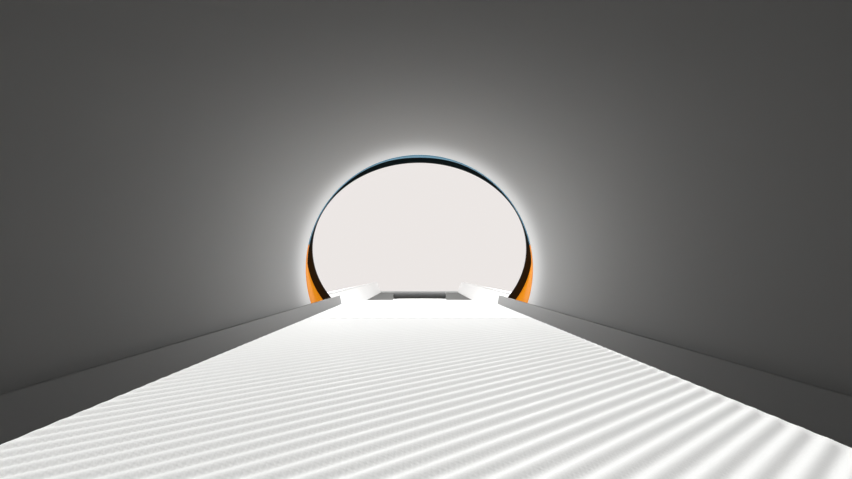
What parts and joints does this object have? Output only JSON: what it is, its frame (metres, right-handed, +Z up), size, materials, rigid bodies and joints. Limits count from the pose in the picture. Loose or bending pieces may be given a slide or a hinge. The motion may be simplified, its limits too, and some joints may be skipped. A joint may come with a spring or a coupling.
{
  "type": "mri scanner",
  "caption": "Whole-body MRI scanner: lit patient bore with an oval flared mouth, ribbed mattress on a sliding tabletop, and a patient table that lowers on a telescoping pedestal.",
  "frame": {"origin": "on the floor under the middle of the bore, at the centre of the gantry's four floor anchors", "axes": "+Z up; the bore runs along Y with the patient table on the -Y side; +X is to the right when looking at the front along +Y"},
  "size_m": [2.08, 3.578, 2.38],
  "materials": {
    "cover_white": "smooth painted moulding",
    "liner_gray": "fine matte moulding",
    "accent_orange": "smooth tinted moulding",
    "accent_blue": "smooth tinted moulding",
    "trim_black": "satin",
    "light_diffuser": "frosted",
    "deck_gray": "satin paint",
    "tabletop_gray": "satin laminate",
    "pad_white": "wipe-clean coated cover",
    "bar_gray": "satin paint",
    "steel_gray": "satin paint",
    "vessel_steel": "rolled and welded sheet",
    "coil_copper": "wound conductor",
    "coil_resin": "cast resin",
    "window_glass": "polished",
    "panel_gray": "satin",
    "button_silver": "smooth",
    "stop_red": "smooth",
    "belt_rubber": "smooth",
    "glide_plastic": "low friction",
    "column_metal": "drawn"
  },
  "bodies": {
    "gantry": {"feet": "steel_gray", "vacuum_vessel": "vessel_steel", "cold_mass": "coil_copper", "service_turret": "vessel_steel", "cold_head": "steel_gray", "vent_pipe": "vessel_steel", "gradient_coil": "coil_resin", "body_coil": "coil_copper", "bore_liner": "liner_gray", "light_ring_front": "light_diffuser", "light_ring_rear": "light_diffuser", "mouth_upper": "accent_blue", "accent_left": "accent_orange", "accent_right": "accent_orange", "mouth_trim": "trim_black", "rear_mouth": "cover_white", "rear_trim": "trim_black", "bridge_tray": "tabletop_gray", "bore_rails": "glide_plastic", "cover_frame": "column_metal", "front_cover": "cover_white", "rear_cover": "cover_white", "side_cover_left": "cover_white", "side_cover_right": "cover_white", "top_cover": "cover_white", "light_window": "window_glass", "panel_left": "panel_gray", "panel_right": "panel_gray", "table_base": "steel_gray", "column_outer": "column_metal", "skirt_lower": "cover_white"},
    "lift_stage": {"column_mid": "column_metal", "skirt_mid": "cover_white"},
    "table": {"column_inner": "column_metal", "skirt_upper": "cover_white", "table_frame": "deck_gray", "rail_left": "cover_white", "rail_right": "cover_white", "foot_cap": "cover_white", "bearing_blocks": "column_metal", "drive_motor": "steel_gray", "drive_belt": "belt_rubber"},
    "drive_pulley": {"drive_pulley": "column_metal"},
    "idler_pulley": {"idler_pulley": "column_metal"},
    "tabletop": {"tabletop": "tabletop_gray", "glides": "glide_plastic", "drive_hook": "column_metal", "main_pad": "pad_white", "foot_pad": "pad_white", "pull_bar": "bar_gray"},
    "button_left_1": {"button_left_1": "button_silver"},
    "button_left_2": {"button_left_2": "button_silver"},
    "button_left_3": {"button_left_3": "button_silver"},
    "button_left_4": {"button_left_4": "button_silver"},
    "button_right_1": {"button_right_1": "button_silver"},
    "button_right_2": {"button_right_2": "button_silver"},
    "button_right_3": {"button_right_3": "button_silver"},
    "button_right_4": {"button_right_4": "button_silver"},
    "stop_left": {"stop_left": "stop_red"},
    "stop_right": {"stop_right": "stop_red"}
  },
  "joints": [
    {"name": "tabletop_slide", "type": "slide", "parent": "gantry", "child": "tabletop", "axis": [0, 1, 0], "range_m": [-1.555, 0.1]},
    {"name": "table_lower", "type": "slide", "parent": "gantry", "child": "table", "axis": [0, 0, -1], "range_m": [0, 0.4]},
    {"name": "stage_lower", "type": "slide", "parent": "gantry", "child": "lift_stage", "axis": [0, 0, -1], "range_m": [0, 0.2]},
    {"name": "drive_pulley_spin", "type": "hinge", "parent": "table", "child": "drive_pulley", "pos_m": [0, -2.649, 0.837], "axis": [-1, 0, 0], "range_deg": [-3400, 260]},
    {"name": "idler_pulley_spin", "type": "hinge", "parent": "table", "child": "idler_pulley", "pos_m": [0, -0.917, 0.837], "axis": [-1, 0, 0], "range_deg": [-3400, 260]},
    {"name": "button_left_1_press", "type": "slide", "parent": "gantry", "child": "button_left_1", "axis": [0, 1, 0], "range_m": [0, 0.0025], "stiffness_N_per_m": 400},
    {"name": "button_left_2_press", "type": "slide", "parent": "gantry", "child": "button_left_2", "axis": [0, 1, 0], "range_m": [0, 0.0025], "stiffness_N_per_m": 400},
    {"name": "button_left_3_press", "type": "slide", "parent": "gantry", "child": "button_left_3", "axis": [0, 1, 0], "range_m": [0, 0.0025], "stiffness_N_per_m": 400},
    {"name": "button_left_4_press", "type": "slide", "parent": "gantry", "child": "button_left_4", "axis": [0, 1, 0], "range_m": [0, 0.0025], "stiffness_N_per_m": 400},
    {"name": "button_right_1_press", "type": "slide", "parent": "gantry", "child": "button_right_1", "axis": [0, 1, 0], "range_m": [0, 0.0025], "stiffness_N_per_m": 400},
    {"name": "button_right_2_press", "type": "slide", "parent": "gantry", "child": "button_right_2", "axis": [0, 1, 0], "range_m": [0, 0.0025], "stiffness_N_per_m": 400},
    {"name": "button_right_3_press", "type": "slide", "parent": "gantry", "child": "button_right_3", "axis": [0, 1, 0], "range_m": [0, 0.0025], "stiffness_N_per_m": 400},
    {"name": "button_right_4_press", "type": "slide", "parent": "gantry", "child": "button_right_4", "axis": [0, 1, 0], "range_m": [0, 0.0025], "stiffness_N_per_m": 400},
    {"name": "stop_left_press", "type": "slide", "parent": "gantry", "child": "stop_left", "axis": [0, 1, 0], "range_m": [0, 0.004]},
    {"name": "stop_right_press", "type": "slide", "parent": "gantry", "child": "stop_right", "axis": [0, 1, 0], "range_m": [0, 0.004]}
  ],
  "couplings": [
    {"joint": "stage_lower", "follows": "table_lower", "ratio": 0.5},
    {"joint": "drive_pulley_spin", "follows": "tabletop_slide", "rad_per_m": 37.736},
    {"joint": "idler_pulley_spin", "follows": "tabletop_slide", "rad_per_m": 37.736}
  ]
}
